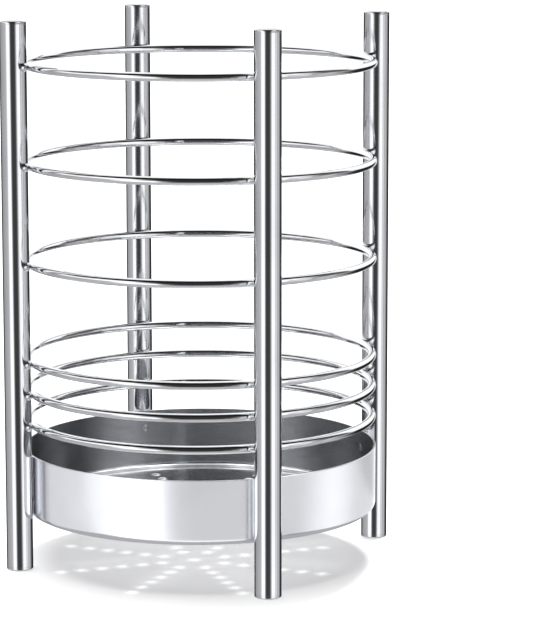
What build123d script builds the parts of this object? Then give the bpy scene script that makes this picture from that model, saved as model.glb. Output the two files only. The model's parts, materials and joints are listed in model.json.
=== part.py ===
from build123d import *
import math
import os

# Kitchen utensil holder in polished stainless steel. Four closed round posts stand on a circle,
# six wire hoops and a shallow drawn drain pan sit inside them, and small welds hold it all together.
# Millimetres. +Z is up, and the origin is on the counter, in the middle between the posts.

# Overall sizes
overall_height = 195.0
basket_diameter = 127.0         # over the outside of the hoops and of the pan

# Posts: tube with a plug pressed and welded into each end
post_diameter = 9.5
post_wall = 0.8
plug_head = 1.2                 # thickness of the plug's head, which covers the tube's end
plug_spigot = 5.0               # length of the plug inside the tube
plug_clearance = 0.05           # between spigot and tube bore, all round
plug_edge_radius = 0.5
post_places = {"front_left": 225, "front_right": 315, "back_left": 135, "back_right": 45}

# Hoops: round wire, bent round and butt welded
wire_diameter = 3.0
low_hoop_gap = 10.5             # pan rim up to the centre of the lowest hoop
low_hoop_pitch = 11.2
low_hoop_names = ["low_hoop_bottom", "low_hoop_middle", "low_hoop_top"]
top_hoop_drop = 16.5            # top of the posts down to the centre of the top hoop
high_hoop_names = ["high_hoop_bottom", "high_hoop_middle", "high_hoop_top"]

# Drain pan: one drawn and pierced sheet
leg_height = 17.5               # counter up to the underside of the pan
pan_depth = 23.0
sheet_thickness = 0.7
pan_corner_radius = 2.5         # outside radius between wall and floor
rim_edge_radius = 0.2
drain_hole_diameter = 3.5
drain_hole_pitch = 7.6
first_hole_radius = 12.0
floor_land = 8.0                # least plain floor between the outermost holes and the corner
hole_rows = 8

# Welds
weld_gap = 0.15                 # between the posts and what is welded to them
weld_radius = 1.3
pan_weld_inset = 6.7            # rim, and underside, to the centre of a pan weld

basket_radius = basket_diameter / 2
post_radius = post_diameter / 2
wire_radius = wire_diameter / 2
weld_circle_radius = basket_radius + weld_gap / 2
post_circle_radius = basket_radius + weld_gap + post_radius
pan_rim_height = leg_height + pan_depth


def at_post(place, radius, height):
    """A point at the given distance from the middle, in the direction of one post."""
    angle = math.radians(post_places[place])
    return (radius * math.cos(angle), radius * math.sin(angle), height)


def make_post(place):
    """Tube between its two end plugs."""
    length = overall_height - 2 * plug_head
    upright = (Align.CENTER, Align.CENTER, Align.MIN)
    tube = Cylinder(post_radius, length, align=upright) - Cylinder(post_radius - post_wall, length, align=upright)
    return Pos(*at_post(place, post_circle_radius, plug_head)) * tube


def make_plug():
    """End plug with its head below z = 0 and its spigot above, so as a foot it stands on its head."""
    spigot_radius = post_radius - post_wall - plug_clearance
    head_up = (Align.CENTER, Align.CENTER, Align.MAX)
    upright = (Align.CENTER, Align.CENTER, Align.MIN)
    head = Cylinder(post_radius, plug_head, align=head_up)
    outer_edge = head.edges().filter_by(GeomType.CIRCLE).sort_by(Axis.Z)[0]
    head = fillet(outer_edge, plug_edge_radius)
    return head + Cylinder(spigot_radius, plug_spigot, align=upright)


def make_foot(place):
    """Plug in the lower end of a post, which stands on the counter."""
    return Pos(*at_post(place, post_circle_radius, plug_head)) * make_plug()


def make_top_cap(place):
    """The same plug, turned over, in the upper end of a post."""
    return Pos(*at_post(place, post_circle_radius, overall_height - plug_head)) * Rot(X=180) * make_plug()


def make_hoop(height):
    """One wire hoop, which touches the inner side of every post through its welds."""
    return Pos(0, 0, height) * Torus(basket_radius - wire_radius, wire_radius)


def make_pan():
    """Round pan with a rounded lower corner, and drain holes in rows from a centre hole."""
    inner_corner_radius = pan_corner_radius - sheet_thickness
    upright = (Align.CENTER, Align.CENTER, Align.MIN)
    outside = Cylinder(basket_radius, pan_depth, align=upright)
    outside = fillet(outside.edges().filter_by(GeomType.CIRCLE).sort_by(Axis.Z)[0], pan_corner_radius)
    inside = Cylinder(basket_radius - sheet_thickness, pan_depth, align=upright)
    inside = fillet(inside.edges().filter_by(GeomType.CIRCLE).sort_by(Axis.Z)[0], inner_corner_radius)
    pan = outside - Pos(0, 0, sheet_thickness) * inside
    rim_edges = pan.edges().filter_by(GeomType.CIRCLE).filter_by_position(Axis.Z, pan_depth - 0.01, pan_depth + 0.01)
    pan = fillet(rim_edges, min(rim_edge_radius, 0.4 * sheet_thickness))
    hole = Cylinder(drain_hole_diameter / 2, 4 * sheet_thickness)
    last_hole_radius = basket_radius - pan_corner_radius - floor_land - drain_hole_diameter / 2
    holes_in_row = 1 + int((last_hole_radius - first_hole_radius) / drain_hole_pitch)
    centres = [(0, 0)]
    for row in range(hole_rows):
        angle = 2 * math.pi * row / hole_rows
        for step in range(holes_in_row):
            radius = first_hole_radius + step * drain_hole_pitch
            centres.append((radius * math.cos(angle), radius * math.sin(angle)))
    pan -= [Pos(x, y, 0) * hole for x, y in centres]
    return Pos(0, 0, leg_height) * pan


def make_welds(heights, joined):
    """Weld metal between the posts and the joined pieces, at each height on each post."""
    welds = []
    for place, angle in post_places.items():
        # turned so that the ball's seam lies in the gap, clear of both cuts
        ball = Rot(Z=angle + 90) * Sphere(weld_radius)
        for height in heights:
            bead = Pos(*at_post(place, weld_circle_radius, height)) * ball
            post_core = Pos(*at_post(place, post_circle_radius, height)) * Cylinder(post_radius, 4 * weld_radius)
            welds.append(bead - post_core - joined[height])
    return Compound(children=welds)


def write(name, shape):
    export_step(shape, "parts/" + name + ".step")


os.makedirs("parts", exist_ok=True)

for place in post_places:
    write("post_" + place, make_post(place))
    write("foot_" + place, make_foot(place))
    write("top_cap_" + place, make_top_cap(place))

low_hoop_heights = [pan_rim_height + low_hoop_gap + step * low_hoop_pitch for step in range(len(low_hoop_names))]
top_hoop_height = overall_height - top_hoop_drop
high_hoop_pitch = (top_hoop_height - low_hoop_heights[-1]) / len(high_hoop_names)
high_hoop_heights = [low_hoop_heights[-1] + (step + 1) * high_hoop_pitch for step in range(len(high_hoop_names))]
hoops = {}
for name, height in zip(low_hoop_names + high_hoop_names, low_hoop_heights + high_hoop_heights):
    hoops[height] = make_hoop(height)
    write(name, hoops[height])
write("hoop_welds", make_welds(hoops.keys(), hoops))

pan = make_pan()
pan_blank = Pos(0, 0, leg_height) * Cylinder(basket_radius, pan_depth, align=(Align.CENTER, Align.CENTER, Align.MIN))
pan_weld_heights = [leg_height + pan_weld_inset, pan_rim_height - pan_weld_inset]
write("drain_pan", pan)
write("pan_welds", make_welds(pan_weld_heights, {height: pan_blank for height in pan_weld_heights}))
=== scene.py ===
import json
import math

import bmesh
import bpy
from mathutils import Matrix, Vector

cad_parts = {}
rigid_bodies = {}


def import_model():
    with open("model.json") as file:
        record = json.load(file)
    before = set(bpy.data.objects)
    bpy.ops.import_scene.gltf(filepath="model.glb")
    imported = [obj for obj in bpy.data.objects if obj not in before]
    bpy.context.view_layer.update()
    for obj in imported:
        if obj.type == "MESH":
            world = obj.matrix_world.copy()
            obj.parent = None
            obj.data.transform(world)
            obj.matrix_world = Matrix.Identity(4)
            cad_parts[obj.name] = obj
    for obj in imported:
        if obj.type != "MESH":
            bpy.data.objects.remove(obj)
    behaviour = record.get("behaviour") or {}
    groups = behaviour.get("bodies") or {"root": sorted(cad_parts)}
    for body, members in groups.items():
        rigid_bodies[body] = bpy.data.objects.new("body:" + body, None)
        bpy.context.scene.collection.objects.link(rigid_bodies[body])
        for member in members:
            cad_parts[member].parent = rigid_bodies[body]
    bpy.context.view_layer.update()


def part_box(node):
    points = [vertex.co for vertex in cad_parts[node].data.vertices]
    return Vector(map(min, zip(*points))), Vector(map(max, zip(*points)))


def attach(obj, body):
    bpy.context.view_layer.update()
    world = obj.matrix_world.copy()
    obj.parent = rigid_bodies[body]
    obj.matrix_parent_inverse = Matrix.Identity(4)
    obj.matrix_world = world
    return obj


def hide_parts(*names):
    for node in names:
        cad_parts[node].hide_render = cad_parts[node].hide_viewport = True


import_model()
bpy.ops.object.select_all(action="DESELECT")


# ---------------------------------------------------------------- posts
# Four lengths of 9.5 mm stainless tube, drawn, cut square and polished lengthwise on a belt.
# They carry everything: the hoops and the pan are welded to their inner sides.

post_places = ("front_left", "front_right", "back_left", "back_right")
post_low, post_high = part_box("post_front_left")
post_radius = (post_high.x - post_low.x) / 2
post_wall = 0.0008
post_deburring = 0.00006
post_sides = 96


def linear(hex_colour):
    """Turns an sRGB hex colour into the linear values that shaders want."""
    channels = [int(hex_colour[i:i + 2], 16) / 255 for i in (1, 3, 5)]
    return [c / 12.92 if c <= 0.04045 else ((c + 0.055) / 1.055) ** 2.4 for c in channels] + [1]


def add_node(tree, kind, settings=None, values=None, links=None):
    """Adds one node with its settings and socket values, and links sockets to other nodes' outputs."""
    node = tree.nodes.new(kind)
    for name, value in (settings or {}).items():
        setattr(node, name, value)
    for socket, value in (values or {}).items():
        node.inputs[socket].default_value = value
    for socket, (source, output) in (links or {}).items():
        tree.links.new(source.outputs[output], node.inputs[socket])
    return node


def grade(node, stops):
    """Sets a colour ramp's stops from (position, colour) pairs."""
    ramp = node.color_ramp
    while len(ramp.elements) > len(stops):
        ramp.elements.remove(ramp.elements[-1])
    while len(ramp.elements) < len(stops):
        ramp.elements.new(1)
    for element, (position, colour) in zip(ramp.elements, stops):
        element.position = position
        element.color = colour


def new_metal(name):
    """An empty metal with its Principled shader wired to the surface."""
    metal = bpy.data.materials.new(name)
    metal.use_nodes = True
    metal.node_tree.nodes.clear()
    shader = add_node(metal.node_tree, "ShaderNodeBsdfPrincipled", values={"Metallic": 1.0})
    add_node(metal.node_tree, "ShaderNodeOutputMaterial", links={"Surface": (shader, "BSDF")})
    return metal, metal.node_tree, shader


def work_surface(tree, shader, tone, colours, marks, roughness, strength, depth):
    """Lets one pattern vary the metal's tone between two colours, and one its roughness and fine relief."""
    tint = add_node(tree, "ShaderNodeValToRGB", links={"Fac": (tone, "Fac")})
    grade(tint, [(0.3, linear(colours[0])), (0.7, linear(colours[1]))])
    tree.links.new(tint.outputs["Color"], shader.inputs["Base Color"])
    gloss = add_node(tree, "ShaderNodeMapRange", values={"To Min": roughness[0], "To Max": roughness[1]},
                     links={"Value": (marks, "Fac")})
    tree.links.new(gloss.outputs["Result"], shader.inputs["Roughness"])
    relief = add_node(tree, "ShaderNodeBump", values={"Strength": strength, "Distance": depth},
                      links={"Height": (marks, "Fac")})
    tree.links.new(relief.outputs["Normal"], shader.inputs["Normal"])


def belt_polished_tube():
    """304 tube polished along its length: a near mirror with faint lines that run up the post."""
    metal, tree, shader = new_metal("belt_polished_stainless_tube")
    place = add_node(tree, "ShaderNodeTexCoord")
    # polish lines about 0.25 mm apart, drawn coarser than the 400 grit ones so that they show, and 60 mm long
    stretch = add_node(tree, "ShaderNodeMapping", values={"Scale": (4000, 4000, 16)},
                       links={"Vector": (place, "Object")})
    lines = add_node(tree, "ShaderNodeTexNoise", values={"Scale": 1.0, "Detail": 3.0},
                     links={"Vector": (stretch, "Vector")})
    # cloudy patches a few centimetres long where the belt pressed harder
    patches = add_node(tree, "ShaderNodeTexNoise", values={"Scale": 45.0, "Detail": 2.0},
                       links={"Vector": (place, "Object")})
    work_surface(tree, shader, patches, ("#e9eaee", "#f1f2f5"), lines, (0.07, 0.115), 0.25, 0.000004)
    return metal


def edit(piece, mode):
    """Makes one piece the only selected one and opens it in edit mode with nothing selected."""
    bpy.ops.object.select_all(action="DESELECT")
    piece.select_set(True)
    bpy.context.view_layer.objects.active = piece
    bpy.ops.object.mode_set(mode="EDIT")
    bpy.ops.mesh.select_mode(type=mode)
    bpy.ops.mesh.select_all(action="DESELECT")


def pick(piece, kind, test):
    """Selects those vertices, edges or faces of the piece whose middle and normal pass the test."""
    bpy.ops.mesh.select_mode(type=kind)
    bpy.ops.mesh.select_all(action="DESELECT")
    mesh = bmesh.from_edit_mesh(piece.data)
    if kind == "VERT":
        chosen = [v for v in mesh.verts if test(v.co, v.normal)]
    elif kind == "EDGE":
        chosen = [e for e in mesh.edges if test((e.verts[0].co + e.verts[1].co) / 2, e.verts[0].normal)]
    else:
        chosen = [f for f in mesh.faces if test(f.calc_center_median(), f.normal)]
    for element in chosen:
        element.select_set(True)
    bmesh.update_edit_mesh(piece.data)


def apply_modifier(piece, kind, **settings):
    """Adds a modifier with its settings and applies it."""
    modifier = piece.modifiers.new(kind.lower(), kind)
    for name, value in settings.items():
        setattr(modifier, name, value)
    bpy.context.view_layer.objects.active = piece
    bpy.ops.object.modifier_apply(modifier=modifier.name)


def smooth(piece, angle):
    """Shades smooth across edges flatter than the angle, with flat faces kept flat."""
    bpy.ops.object.mode_set(mode="OBJECT")
    bpy.ops.object.select_all(action="DESELECT")
    piece.select_set(True)
    bpy.context.view_layer.objects.active = piece
    bpy.ops.object.shade_smooth_by_angle(angle=math.radians(angle))
    apply_modifier(piece, "WEIGHTED_NORMAL", weight=100, keep_sharp=True)


def copy_to(piece, name, x, y, z=0.0):
    """Copies a piece with its own mesh, and moves the mesh and not the object."""
    twin = piece.copy()
    twin.data = piece.data.copy()
    twin.name = name
    bpy.context.scene.collection.objects.link(twin)
    twin.data.transform(Matrix.Translation((x, y, z)))
    return twin


def middle(node):
    """The middle of a CAD node's box."""
    low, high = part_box(node)
    return (low + high) / 2


bpy.ops.mesh.primitive_circle_add(vertices=post_sides, radius=post_radius, location=(0, 0, post_low.z))
tube = bpy.context.object
bpy.ops.object.transform_apply()
edit(tube, "EDGE")
bpy.ops.mesh.select_all(action="SELECT")
bpy.ops.mesh.extrude_region_move(TRANSFORM_OT_translate={"value": (0, 0, post_high.z - post_low.z)})
bpy.ops.mesh.select_all(action="SELECT")
bpy.ops.mesh.normals_make_consistent(inside=False)
bpy.ops.object.mode_set(mode="OBJECT")
apply_modifier(tube, "SOLIDIFY", thickness=post_wall, offset=-1)
apply_modifier(tube, "BEVEL", width=post_deburring, segments=2, limit_method="ANGLE",
               angle_limit=math.radians(60))
smooth(tube, 30)
tube.data.materials.append(belt_polished_tube())
for place in post_places:
    spot = middle("post_" + place)
    post = copy_to(tube, "tube_" + place, spot.x, spot.y)
    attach(post, "root")
    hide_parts("post_" + place)
bpy.data.objects.remove(tube)


# ---------------------------------------------------------------- end plugs
# Turned stainless plugs pressed into both ends of each tube, welded round and polished flush.
# The upper ones close the posts off flat, and the lower ones are the feet that stand on the counter.

foot_low, foot_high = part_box("foot_front_left")
plug_head = post_low.z - foot_low.z
plug_length = foot_high.z - foot_low.z
plug_edge = 0.0005
spigot_gap = 0.00005
spigot_edge = 0.0003
# shallow rings that the lathe tool left in the face, from the edge in: each one's width as a share of the
# radius, and its step down
face_rings = ((0.12, 0.0), (0.03, 0.00003), (0.55, 0.0), (0.05, 0.00003))
# how much of a face's normal points straight up or down before the face counts as level
level_face = 0.9999


def turned_plug():
    """304 bar faced on a lathe and then buffed: bright, with fine scuffs in every direction."""
    metal, tree, shader = new_metal("turned_stainless_plug")
    place = add_node(tree, "ShaderNodeTexCoord")
    # scuffs about 1 mm apart
    scuffs = add_node(tree, "ShaderNodeTexNoise", values={"Scale": 900.0, "Detail": 4.0},
                      links={"Vector": (place, "Object")})
    work_surface(tree, shader, scuffs, ("#e6e7ea", "#eff0f3"), scuffs, (0.09, 0.16), 0.2, 0.00001)
    return metal


bpy.ops.mesh.primitive_cylinder_add(vertices=post_sides, radius=post_radius, depth=plug_head,
                                    location=(0, 0, plug_head / 2))
plug = bpy.context.object
bpy.ops.object.transform_apply()
edit(plug, "EDGE")
pick(plug, "EDGE", lambda at, normal: at.z < plug_head * 0.1)
bpy.ops.mesh.bevel(offset=plug_edge, segments=6, affect="EDGES")
pick(plug, "FACE", lambda at, normal: normal.z < -level_face)
for width, step in face_rings:
    bpy.ops.mesh.inset(thickness=post_radius * width, depth=-step)
# spigot that is pressed into the tube
pick(plug, "FACE", lambda at, normal: normal.z > level_face)
bpy.ops.mesh.inset(thickness=post_wall + spigot_gap)
bpy.ops.mesh.extrude_region_move(TRANSFORM_OT_translate={"value": (0, 0, plug_length - plug_head)})
bpy.ops.mesh.bevel(offset=spigot_edge, segments=2, affect="EDGES")
bpy.ops.object.mode_set(mode="OBJECT")
smooth(plug, 35)
plug.data.materials.append(turned_plug())
cap = copy_to(plug, "cap", 0, 0)
cap.data.transform(Matrix.Rotation(math.pi, 4, "X"))
for place in post_places:
    spot = middle("post_" + place)
    foot = copy_to(plug, "foot_plug_" + place, spot.x, spot.y, foot_low.z)
    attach(foot, "root")
    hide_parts("foot_" + place)
    top = copy_to(cap, "top_plug_" + place, spot.x, spot.y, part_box("top_cap_" + place)[1].z)
    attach(top, "root")
    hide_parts("top_cap_" + place)
bpy.data.objects.remove(plug)
bpy.data.objects.remove(cap)


# ---------------------------------------------------------------- hoops
# Six hoops of 3 mm stainless wire, rolled round, butt welded and electropolished.
# Three sit close together above the pan and three are spread up the basket; each has its joint behind a post.

hoop_names = ("low_hoop_bottom", "low_hoop_middle", "low_hoop_top",
              "high_hoop_bottom", "high_hoop_middle", "high_hoop_top")
hoop_low, hoop_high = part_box("low_hoop_bottom")
hoop_radius = (hoop_high.x - hoop_low.x) / 2
wire_radius = (hoop_high.z - hoop_low.z) / 2
hoop_lengths = 288
wire_sides = 28
joint_angle = math.radians(133.2)
joint_half_length = 0.0011
joint_swell = 0.00004


def electropolished_wire():
    """304 wire from an electropolishing bath: the brightest finish here, with a soft orange-peel ripple."""
    metal, tree, shader = new_metal("electropolished_stainless_wire")
    place = add_node(tree, "ShaderNodeTexCoord")
    # ripple about 4 mm from crest to crest
    ripple = add_node(tree, "ShaderNodeTexNoise", values={"Scale": 260.0, "Detail": 2.0},
                      links={"Vector": (place, "Object")})
    work_surface(tree, shader, ripple, ("#eff0f2", "#f6f7f9"), ripple, (0.025, 0.06), 0.15, 0.00002)
    return metal


def at_joint(at, normal):
    """Passes the short length of wire that swelled when the hoop was butt welded."""
    return at.x < 0 < at.y and abs(math.atan2(at.y, at.x) - joint_angle) * hoop_radius < joint_half_length


bpy.ops.mesh.primitive_torus_add(major_segments=hoop_lengths, minor_segments=wire_sides,
                                 major_radius=hoop_radius - wire_radius, minor_radius=wire_radius)
hoop = bpy.context.object
bpy.ops.object.transform_apply()
edit(hoop, "VERT")
pick(hoop, "VERT", at_joint)
bpy.ops.transform.shrink_fatten(value=joint_swell)
bpy.ops.object.mode_set(mode="OBJECT")
smooth(hoop, 60)
hoop.data.materials.append(electropolished_wire())
for name in hoop_names:
    wire = copy_to(hoop, "wire_" + name, 0, 0, middle(name).z)
    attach(wire, "root")
    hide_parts(name)
bpy.data.objects.remove(hoop)


# ---------------------------------------------------------------- drain pan
# One disc of 0.7 mm stainless sheet, drawn into a shallow pan, trimmed, deburred and pierced.
# The outside is buffed, the wall inside is brushed on a wheel, and the floor keeps the mill's bright surface.

pan_low, pan_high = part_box("drain_pan")
pan_radius = (pan_high.x - pan_low.x) / 2
pan_depth = pan_high.z - pan_low.z
sheet = 0.0007
inner_radius = pan_radius - sheet
corner_radius = 0.0025
rim_radius = 0.0002
pan_sides = 288
drain_hole_radius = 0.00175
drain_hole_pitch = 0.0076
first_hole_at = 0.012
holes_in_row = 6
hole_rows = 8
burr_chamfer = 0.00045
punch_stroke = 0.001
punch_sides = 32


def buffed_sheet():
    """Cold-rolled 304 sheet, buffed after drawing: a soft mirror with a faint haze."""
    metal, tree, shader = new_metal("buffed_stainless_sheet")
    place = add_node(tree, "ShaderNodeTexCoord")
    # haze in clouds about 17 mm across
    haze = add_node(tree, "ShaderNodeTexNoise", values={"Scale": 60.0, "Detail": 3.0},
                    links={"Vector": (place, "Object")})
    work_surface(tree, shader, haze, ("#e4e5ea", "#ecedf2"), haze, (0.2, 0.27), 0.1, 0.00005)
    return metal


def brushed_sheet_painted_shade():
    """The same sheet inside the pan, wheel-brushed in fine lines round it, greyed by painted shade."""
    metal, tree, shader = new_metal("brushed_stainless_sheet_painted_shade")
    place = add_node(tree, "ShaderNodeTexCoord")
    # lines about 0.6 mm apart, coarser than the 320 grit ones so that they show, and 8 mm long
    stretch = add_node(tree, "ShaderNodeMapping", values={"Scale": (120, 120, 1800)},
                       links={"Vector": (place, "Object")})
    lines = add_node(tree, "ShaderNodeTexNoise", values={"Scale": 1.0, "Detail": 4.0},
                     links={"Vector": (stretch, "Vector")})
    # the two greys, darker than the outside's, are painted shade of the pan's inside; the lines only vary
    # them at random
    work_surface(tree, shader, lines, ("#a6a8ab", "#b0b2b5"), lines, (0.2, 0.28), 0.2, 0.00001)
    # the lines spread what the wall mirrors up and down much more than sideways
    shader.inputs["Anisotropic"].default_value = 0.95
    shader.inputs["Anisotropic Rotation"].default_value = 0.25
    around_pan = add_node(tree, "ShaderNodeTangent", {"direction_type": "RADIAL", "axis": "Z"})
    tree.links.new(around_pan.outputs["Tangent"], shader.inputs["Tangent"])
    return metal


def mill_bright_sheet():
    """The same sheet where the die didn't work it: the mill's bright rolled surface, scuffed by use."""
    metal, tree, shader = new_metal("mill_bright_stainless_sheet")
    place = add_node(tree, "ShaderNodeTexCoord")
    # scuffs about 3 mm apart
    scuffs = add_node(tree, "ShaderNodeTexNoise", values={"Scale": 350.0, "Detail": 5.0},
                      links={"Vector": (place, "Object")})
    work_surface(tree, shader, scuffs, ("#cfd1d4", "#dcdee0"), scuffs, (0.08, 0.2), 0.15, 0.00001)
    return metal


bpy.ops.mesh.primitive_circle_add(vertices=pan_sides, radius=pan_radius, fill_type="NGON",
                                  location=(0, 0, pan_low.z))
pan = bpy.context.object
bpy.ops.object.transform_apply()
pan.name = "pan_sheet"
edit(pan, "EDGE")
pick(pan, "EDGE", lambda at, normal: True)
bpy.ops.mesh.extrude_edges_move(TRANSFORM_OT_translate={"value": (0, 0, pan_depth)})
bpy.ops.mesh.select_all(action="SELECT")
bpy.ops.mesh.normals_make_consistent(inside=False)
pick(pan, "EDGE", lambda at, normal: at.z < pan_low.z + 0.1 * pan_depth)
bpy.ops.mesh.bevel(offset=corner_radius, segments=10, affect="EDGES")
bpy.ops.object.mode_set(mode="OBJECT")
apply_modifier(pan, "SOLIDIFY", thickness=sheet, offset=-1, use_even_offset=True)
edit(pan, "EDGE")
pick(pan, "EDGE", lambda at, normal: at.z > pan_high.z - 1e-6)
bpy.ops.mesh.bevel(offset=rim_radius, segments=3, affect="EDGES")
bpy.ops.object.mode_set(mode="OBJECT")
for finish in (buffed_sheet(), brushed_sheet_painted_shade(), mill_bright_sheet()):
    pan.data.materials.append(finish)
buffed, painted_shade_wall, mill_bright = range(3)
for face in pan.data.polygons:
    across = math.hypot(face.center.x, face.center.y)
    inside = face.center.z > pan_low.z + sheet * 0.9 and across < inner_radius + rim_radius * 0.4
    faces_out = across > 0 and (face.normal.x * face.center.x + face.normal.y * face.center.y) > 0
    if faces_out or not inside:
        face.material_index = buffed
    # the inner wall gets the darker grey that is painted shade
    elif face.center.z > pan_low.z + corner_radius:
        face.material_index = painted_shade_wall
    else:
        face.material_index = mill_bright

# Piercing: every punch is a rod that widens just under the sheet's upper face, which leaves a hole with a
# small flare where the burr was taken off.
punch_centres = [(0.0, 0.0)]
for row in range(hole_rows):
    angle = 2 * math.pi * row / hole_rows
    for step in range(holes_in_row):
        from_middle = first_hole_at + step * drain_hole_pitch
        punch_centres.append((from_middle * math.cos(angle), from_middle * math.sin(angle)))
punch_middle = pan_low.z + sheet / 2 - punch_stroke / 2 - burr_chamfer / 2
bpy.ops.mesh.primitive_cylinder_add(vertices=punch_sides, radius=drain_hole_radius,
                                    depth=sheet + punch_stroke, location=(0, 0, punch_middle))
punch = bpy.context.object
bpy.ops.object.transform_apply()
punch_top = max(v.co.z for v in punch.data.vertices)
flare_height = pan_low.z + sheet + burr_chamfer - punch_top
flare = 1 + 2 * burr_chamfer / drain_hole_radius
edit(punch, "FACE")
pick(punch, "FACE", lambda at, normal: normal.z > level_face)
bpy.ops.mesh.extrude_region_move(TRANSFORM_OT_translate={"value": (0, 0, flare_height)})
bpy.ops.transform.resize(value=(flare, flare, 1))
bpy.ops.object.mode_set(mode="OBJECT")
punches = [copy_to(punch, "punch", x, y) for x, y in punch_centres]
bpy.data.objects.remove(punch)
bpy.ops.object.select_all(action="DESELECT")
for one in punches:
    one.select_set(True)
bpy.context.view_layer.objects.active = punches[0]
bpy.ops.object.join()
apply_modifier(pan, "BOOLEAN", operation="DIFFERENCE", object=punches[0], solver="EXACT")
bpy.data.objects.remove(punches[0])
smooth(pan, 35)
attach(pan, "root")
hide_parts("drain_pan")


# ---------------------------------------------------------------- welds
# Small beads of stainless filler where each hoop, and the pan at two heights, meets each post.
# They are ground and buffed over, so they read as soft lumps in the corner between the two metals.
# The pan's upper welds also show through inside its wall, as faint discs.

bead_radius = 0.0013
bead_gap = 0.00015
bead_segments = 24
bead_rings = 14
# out from the middle of the holder, sideways and up, as shares of the bead's radius
hoop_bead_shape = (0.75, 0.95, 0.8)
pan_bead_shape = (0.6, 1.0, 1.0)
mark_shape = (0.12, 0.8, 1.0)


def buffed_weld():
    """Filler metal after a quick buff: bright but uneven, with a slightly straw-grey tone."""
    metal, tree, shader = new_metal("buffed_weld_metal")
    place = add_node(tree, "ShaderNodeTexCoord")
    # lumps about 0.7 mm apart
    lumps = add_node(tree, "ShaderNodeTexNoise", values={"Scale": 1400.0, "Detail": 3.0},
                     links={"Vector": (place, "Object")})
    work_surface(tree, shader, lumps, ("#cfcfcd", "#e2e2e2"), lumps, (0.16, 0.34), 0.4, 0.00004)
    return metal


def beads_at(name, shape, places_and_heights, from_middle):
    """One joined piece of equal beads, each flattened towards the post that it sits against."""
    made = []
    for place, height in places_and_heights:
        spot = middle("post_" + place)
        heading = math.atan2(spot.y, spot.x)
        bpy.ops.mesh.primitive_uv_sphere_add(segments=bead_segments, ring_count=bead_rings,
                                             radius=bead_radius)
        bead = bpy.context.object
        bpy.ops.transform.resize(value=shape)
        bead.rotation_euler = (0, 0, heading)
        bead.location = (from_middle * math.cos(heading), from_middle * math.sin(heading), height)
        bpy.ops.object.transform_apply()
        made.append(bead)
    bpy.ops.object.select_all(action="DESELECT")
    for bead in made:
        bead.select_set(True)
    bpy.context.view_layer.objects.active = made[0]
    bpy.ops.object.join()
    made[0].name = name
    smooth(made[0], 60)
    return made[0]


weld_metal = buffed_weld()
hoop_spots = [(place, middle(name).z) for place in post_places for name in hoop_names]
hoop_beads = beads_at("hoop_weld_beads", hoop_bead_shape, hoop_spots, hoop_radius + bead_gap / 2)
hoop_beads.data.materials.append(weld_metal)
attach(hoop_beads, "root")
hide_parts("hoop_welds")
weld_low, weld_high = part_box("pan_welds")
pan_weld_heights = (weld_low.z + bead_radius, weld_high.z - bead_radius)
pan_spots = [(place, height) for place in post_places for height in pan_weld_heights]
pan_beads = beads_at("pan_weld_beads", pan_bead_shape, pan_spots, pan_radius + bead_gap / 2)
upper_spots = [(place, height) for place, height in pan_spots if height > pan_low.z + pan_depth / 2]
pan_marks = beads_at("pan_weld_marks", mark_shape, upper_spots, inner_radius)
for piece in (pan_beads, pan_marks):
    piece.data.materials.append(weld_metal)
    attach(piece, "root")
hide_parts("pan_welds")


# ---------------------------------------------------------------- studio
# A white laminate table that runs out of sight, lit by a key from behind that draws the drain holes on it, a
# wide soft light overhead and an even fill. Round it stand cards, tall panels, black flags and a backdrop,
# which only metal mirrors.

camera_side = math.radians(25.34)
table_size = 60.0

bpy.ops.mesh.primitive_plane_add(size=table_size)
floor = bpy.context.object
floor.name = "studio_table"
bpy.ops.object.transform_apply()
floor.visible_glossy = False
laminate = bpy.data.materials.new("white_laminate_table")
laminate.use_nodes = True
laminate.node_tree.nodes.clear()
cover = add_node(laminate.node_tree, "ShaderNodeBsdfDiffuse", values={"Color": linear("#f4f4f4")})
add_node(laminate.node_tree, "ShaderNodeOutputMaterial", links={"Surface": (cover, "BSDF")})
floor.data.materials.append(laminate)


def sun(name, strength, spread, tilt, heading, shadows):
    """A sun that shines down, tilted from the vertical towards a heading."""
    lamp = bpy.data.lights.new(name, "SUN")
    lamp.energy = strength
    lamp.angle = math.radians(spread)
    lamp.use_shadow = shadows
    holder = bpy.data.objects.new(name, lamp)
    holder.rotation_euler = (math.radians(tilt), 0, heading)
    holder.visible_glossy = False
    bpy.context.scene.collection.objects.link(holder)
    return holder


key_heading = camera_side + math.pi - math.radians(11)
overhead_heading = camera_side + math.pi + math.radians(40)
key = sun("key_from_behind", 2.7, 10.0, 36.0, key_heading, True)
overhead = sun("overhead_softbox", 2.3, 50.0, 14.0, overhead_heading, True)
sun("even_fill", 1.6, 20.0, 0.0, 0.0, False)

# the key and the soft light throw only the shadows that matter: the pan's, with its holes, and the feet's
shadow_makers = bpy.data.collections.new("shadow_makers")
for piece in bpy.context.scene.objects:
    if piece.name == "pan_sheet" or piece.name.startswith("foot_plug"):
        shadow_makers.objects.link(piece)
for lamp in (key, overhead):
    lamp.light_linking.blocker_collection = shadow_makers

# cards that only chosen pieces mirror
pan_only = bpy.data.collections.new("pan_only")
pan_only.objects.link(pan)
all_but_pan = bpy.data.collections.new("all_but_pan")
for piece in bpy.context.scene.objects:
    if piece.name.startswith(("tube_", "wire_", "top_plug_", "foot_plug_")):
        all_but_pan.objects.link(piece)


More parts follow.
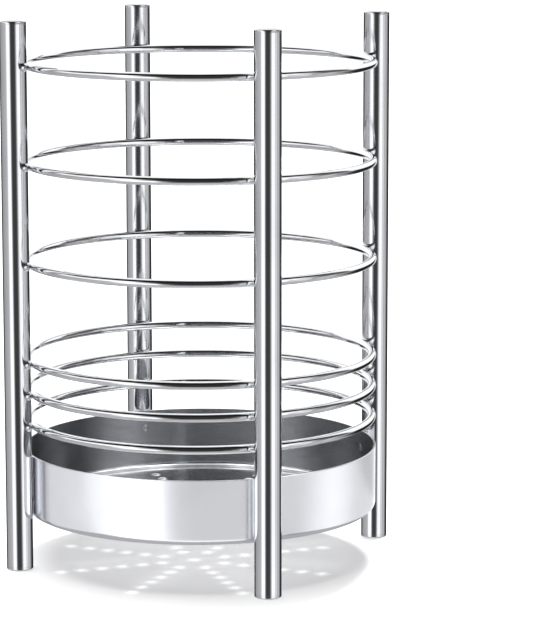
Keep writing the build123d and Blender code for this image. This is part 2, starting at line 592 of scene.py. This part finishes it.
def card(name, glow, width, height, place, turned, receivers):
    """An even white rectangle that only the receivers mirror, placed and turned with the camera's side."""
    lamp = bpy.data.lights.new(name, "AREA")
    lamp.shape = "RECTANGLE"
    lamp.size = width
    lamp.size_y = height
    lamp.energy = glow * math.pi * width * height
    lamp.use_shadow = False
    holder = bpy.data.objects.new(name, lamp)
    right, away, up = place
    holder.location = (right * math.cos(camera_side) - away * math.sin(camera_side),
                       right * math.sin(camera_side) + away * math.cos(camera_side), up)
    holder.rotation_euler = (turned[0], 0, camera_side + turned[1])
    holder.visible_camera = False
    holder.light_linking.receiver_collection = receivers
    bpy.context.scene.collection.objects.link(holder)


# the white table as the pan's wall mirrors it, with a clear square under and round the holder
clear = 0.075
table_reach = 0.425
table_middle = clear + table_reach / 2
table_width = 2 * (clear + table_reach)
card_lift = 0.001
facing_up = (math.pi, 0)
for name, glow, width, depth, to_right, to_back in (
        ("table_front", 0.74, table_width, table_reach, 0, -table_middle),
        ("table_back", 0.6, table_width, table_reach, 0, table_middle),
        ("table_left", 0.45, table_reach, 2 * clear, -table_middle, 0),
        ("table_right", 0.85, table_reach, 2 * clear, table_middle, 0)):
    card(name, glow, width, depth, (to_right, to_back, card_lift), facing_up, pan_only)

# two softboxes overhead and a dim one between them, which show in the rounded corner inside the pan
softbox_depth = 0.5
softbox_back = -0.12
softbox_height = 0.6
facing_down = (0, 0)
for name, glow, width, to_right in (("overhead_left", 2.8, 0.55, -0.405),
                                    ("overhead_right", 2.8, 0.55, 0.405),
                                    ("overhead_middle", 0.9, 0.26, 0)):
    card(name, glow, width, softbox_depth, (to_right, softbox_back, softbox_height), facing_down, pan_only)

# Tall panels at the camera's right, which make the white stripes right of each post's dark core. Each spans
# from one turn to another, in degrees to the right of the camera's side.
panel_distance = 3.0
panel_low, panel_high = -1.6, 0.1
panel_middle = (panel_low + panel_high) / 2
for name, first, last, glow in (("panel_edge", 15, 20, 0.08), ("panel_fade", 20, 25, 0.25),
                                ("panel_rise", 25, 31, 0.6), ("panel_near", 31, 58, 1.1),
                                ("panel_middle", 58, 76, 0.65), ("panel_far", 76, 98, 0.2)):
    heading = math.radians((first + last) / 2)
    width = 2 * panel_distance * math.tan(math.radians((last - first) / 2))
    card(name, glow, width, panel_high - panel_low,
         (panel_distance * math.sin(heading), -panel_distance * math.cos(heading), panel_middle),
         (math.pi / 2, heading), all_but_pan)

surround = bpy.data.worlds.new("studio_surround")
bpy.context.scene.world = surround
surround.use_nodes = True
surround.cycles_visibility.diffuse = False
tree = surround.node_tree
tree.nodes.clear()
look = add_node(tree, "ShaderNodeTexCoord")
turn = add_node(tree, "ShaderNodeMapping", values={"Rotation": (0, 0, -camera_side)},
                links={"Vector": (look, "Generated")})
split = add_node(tree, "ShaderNodeSeparateXYZ", links={"Vector": (turn, "Vector")})
flip = add_node(tree, "ShaderNodeMath", {"operation": "MULTIPLY"}, {1: -1.0}, {0: (split, "Y")})
swing = add_node(tree, "ShaderNodeMath", {"operation": "ARCTAN2"}, None,
                 {0: (split, "X"), 1: (flip, "Value")})
around = add_node(tree, "ShaderNodeMapRange", None, {"From Min": -math.pi, "From Max": math.pi},
                  {"Value": (swing, "Value")})

# Layers from the table to the zenith. Each starts at a height, as the sine of its elevation, fades in up to
# the next number, and has a brightness at each turn in degrees to the right of the camera's side.
layers = [
    ("table", -1.0, -1.0, [(0, 0.5)]),
    ("low_panels", -0.6, -0.45, [(-180, 0.9), (-164, 0.9), (-156, 0.02), (-132, 0.02), (-124, 0.34),
                                 (-98, 0.42), (-62, 0.52), (-50, 1.25), (-29, 1.25), (-24, 0.4), (-18, 0.12),
                                 (-13, 0.05), (62, 0.05), (77, 0.22), (95, 0.42), (108, 0.32), (118, 0.1),
                                 (124, 0.02), (156, 0.02), (164, 0.9)]),
    ("eye_level_panels", 0.0, 0.05, [(-125, 0.03), (-108, 0.25), (-98, 1.1), (-45, 1.25), (-34, 0.4),
                                     (-24, 0.02), (22, 0.02), (32, 0.6), (45, 1.3), (68, 1.0), (86, 0.15),
                                     (125, 0.03)]),
    ("high_panels", 0.3, 0.4, [(-120, 0.02), (-108, 0.2), (-88, 0.2), (-70, 1.1), (-48, 1.25), (-38, 0.3),
                               (-28, 0.05), (28, 0.05), (38, 0.3), (48, 1.3), (68, 1.0), (86, 0.15),
                               (120, 0.02)]),
    ("black_ceiling", 0.46, 0.58, [(0, 0.015)]),
]
faint_blue = 1.01
with_layer = None
for name, start, full, stops in layers:
    ramp = add_node(tree, "ShaderNodeValToRGB", links={"Fac": (around, "Result")})
    ramp.label = name
    grade(ramp, [(degrees / 360 + 0.5, (level, level, level * faint_blue, 1)) for degrees, level in stops])
    if with_layer is None:
        with_layer = (ramp, "Color")
        continue
    rise = add_node(tree, "ShaderNodeMapRange", {"interpolation_type": "SMOOTHSTEP"},
                    {"From Min": start, "From Max": full}, {"Value": (split, "Z")})
    mixed = add_node(tree, "ShaderNodeMix", {"data_type": "RGBA"})
    for socket, (source, output) in ((0, (rise, "Result")), (6, with_layer), (7, (ramp, "Color"))):
        tree.links.new(source.outputs[output], mixed.inputs[socket])
    with_layer = (mixed, 2)

# a tall white backdrop stands behind the set and curves over it, so the far side of every part mirrors white
backdrop_taper = -0.5
backdrop_glow = 1.1
sideways = add_node(tree, "ShaderNodeMath", {"operation": "ABSOLUTE"}, None, {0: (split, "X")})
slant = add_node(tree, "ShaderNodeMath", {"operation": "MULTIPLY"}, {1: backdrop_taper},
                 {0: (sideways, "Value")})
to_backdrop = add_node(tree, "ShaderNodeMath", {"operation": "ADD"}, None,
                       {0: (split, "Y"), 1: (slant, "Value")})
behind = add_node(tree, "ShaderNodeMapRange", {"interpolation_type": "SMOOTHSTEP"},
                  {"From Min": -0.14, "From Max": 0.02}, {"Value": (to_backdrop, "Value")})
above = add_node(tree, "ShaderNodeMapRange", {"interpolation_type": "SMOOTHSTEP"},
                 {"From Min": 0.0, "From Max": 0.04}, {"Value": (split, "Z")})
backdrop = add_node(tree, "ShaderNodeMath", {"operation": "MULTIPLY"}, None,
                    {0: (behind, "Result"), 1: (above, "Result")})
with_backdrop = add_node(tree, "ShaderNodeMix", {"data_type": "RGBA"})
with_backdrop.inputs[7].default_value = (backdrop_glow, backdrop_glow, backdrop_glow, 1)
tree.links.new(backdrop.outputs["Value"], with_backdrop.inputs[0])
tree.links.new(with_layer[0].outputs[with_layer[1]], with_backdrop.inputs[6])

# the camera itself sees plain white past the table
rays = add_node(tree, "ShaderNodeLightPath")
seen = add_node(tree, "ShaderNodeMix", {"data_type": "RGBA"})
seen.inputs[7].default_value = (1, 1, 1, 1)
tree.links.new(rays.outputs["Is Camera Ray"], seen.inputs[0])
tree.links.new(with_backdrop.outputs[2], seen.inputs[6])
surround_light = add_node(tree, "ShaderNodeBackground")
tree.links.new(seen.outputs[2], surround_light.inputs["Color"])
add_node(tree, "ShaderNodeOutputWorld", links={"Surface": (surround_light, "Background")})

camera_distance = 1.0715
camera_height = 0.268
camera_tilt = math.radians(9.475)
camera_pan = math.radians(1.446)
camera_data = bpy.data.cameras.new("catalogue_camera")
camera_data.sensor_width = 36
camera_data.lens = 175.2
camera_data.clip_end = 100
camera = bpy.data.objects.new("catalogue_camera", camera_data)
camera.location = (camera_distance * math.sin(camera_side), -camera_distance * math.cos(camera_side),
                   camera_height)
camera.rotation_euler = (math.pi / 2 - camera_tilt, 0, camera_side - camera_pan)
bpy.context.scene.collection.objects.link(camera)
bpy.context.scene.camera = camera
bpy.context.scene.view_settings.view_transform = "Standard"
